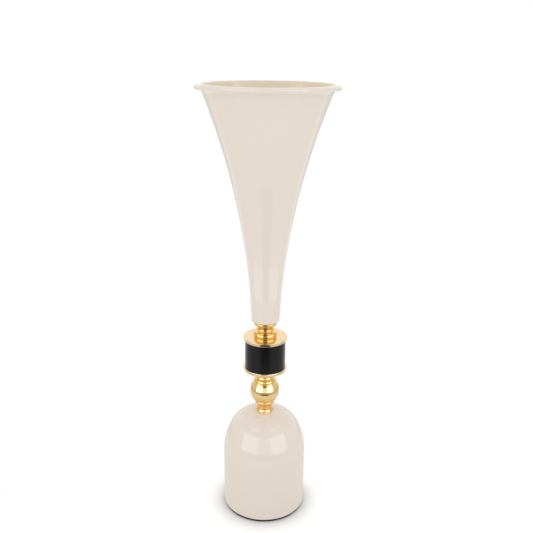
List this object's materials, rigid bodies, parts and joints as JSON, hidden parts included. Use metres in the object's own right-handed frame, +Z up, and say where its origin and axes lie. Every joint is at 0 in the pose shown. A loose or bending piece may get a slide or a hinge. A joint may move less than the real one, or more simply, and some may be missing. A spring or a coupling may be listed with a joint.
{
  "type": "trumpet vase",
  "caption": "Tall vase: a flared cream trumpet with a thick lip on a turned gold column with a ball and a black drum, over a domed weighted base.",
  "frame": {"origin": "centre of the foot pad's underside, on the surface that the vase stands on", "axes": "+Z up along the turned axis, from the foot to the mouth; X and Y are free, because the vase is turned"},
  "size_m": [0.178, 0.178, 0.5822],
  "materials": {
    "cream_enamel": "glossy cream enamel over spun aluminium",
    "polished_gold": "mirror polished, gold plated brass",
    "black_lacquer": "satin black lacquer",
    "foot_pad": "matt black foam rubber",
    "ballast_iron": "as cast, painted dark",
    "zinc_steel": "bright zinc plated",
    "stainless_steel": "turned stainless",
    "rubber": "moulded, matt"
  },
  "bodies": {
    "root": {"foot_pad": "foot_pad", "base_dome": "cream_enamel", "ballast_weight": "ballast_iron", "lock_washer": "zinc_steel", "base_nut": "zinc_steel", "tie_rod": "zinc_steel", "crown_washer": "zinc_steel", "jam_nut": "zinc_steel", "base_collar": "polished_gold", "ball_cup": "polished_gold", "ball": "polished_gold", "ball_cap": "polished_gold", "lower_disc": "polished_gold", "drum_sleeve": "black_lacquer", "drum_core": "zinc_steel", "upper_disc": "polished_gold", "check_ring": "polished_gold", "ogee_collar": "polished_gold", "trumpet_cup": "polished_gold", "trumpet_funnel": "cream_enamel", "seal_washer": "rubber", "top_washer": "stainless_steel", "cap_nut": "stainless_steel"}
  },
  "joints": []
}
